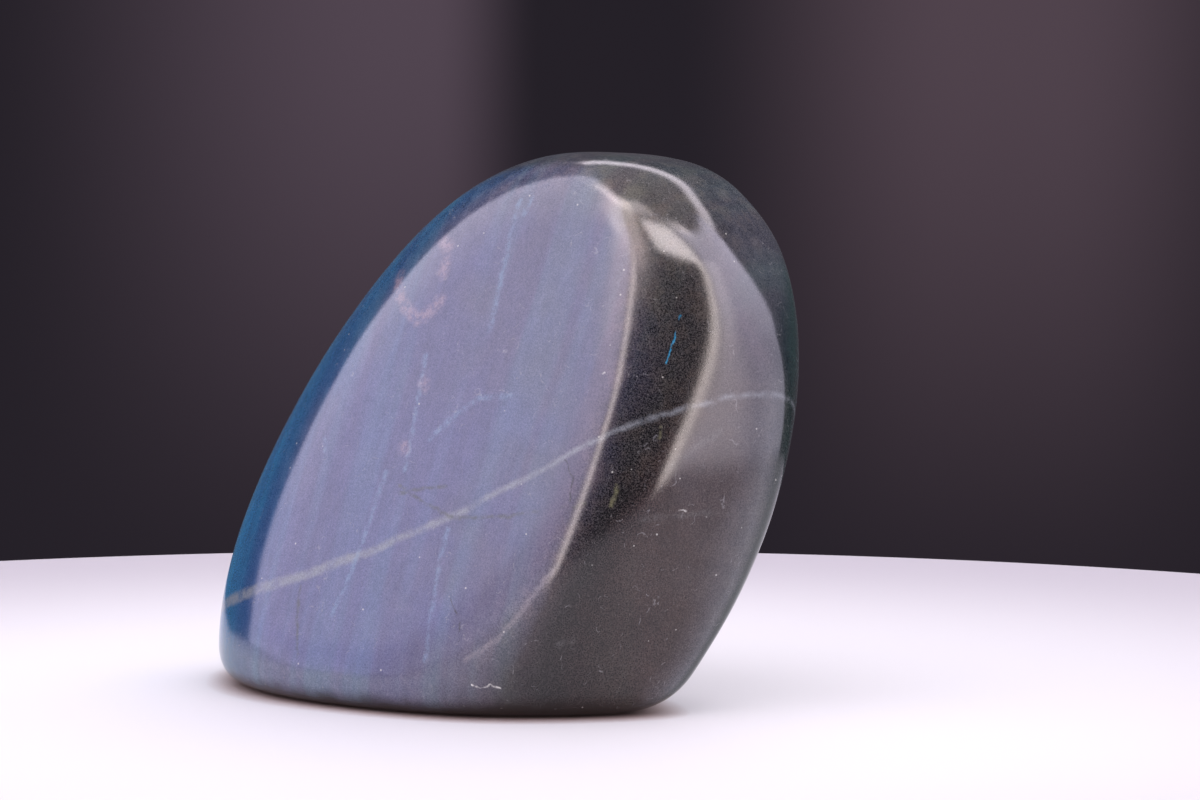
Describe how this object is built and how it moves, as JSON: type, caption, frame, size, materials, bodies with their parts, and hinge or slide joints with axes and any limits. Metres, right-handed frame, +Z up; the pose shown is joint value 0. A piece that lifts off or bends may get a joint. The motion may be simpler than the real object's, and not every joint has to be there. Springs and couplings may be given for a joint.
{
  "type": "polished labradorite freeform",
  "caption": "Polished labradorite freeform: a solid blue-grey stone with broad ground faces and a bevelled end, standing on a flat cut base.",
  "frame": {"origin": "under the middle of the stone, on the surface that it stands on", "axes": "+X along the stone's width, towards its bevelled end; -Y out of the large main face; +Z up"},
  "size_m": [0.0816, 0.0454, 0.0675],
  "materials": {
    "labradorite": "polished to a gloss"
  },
  "bodies": {
    "root": {"labradorite": "labradorite"}
  },
  "joints": []
}
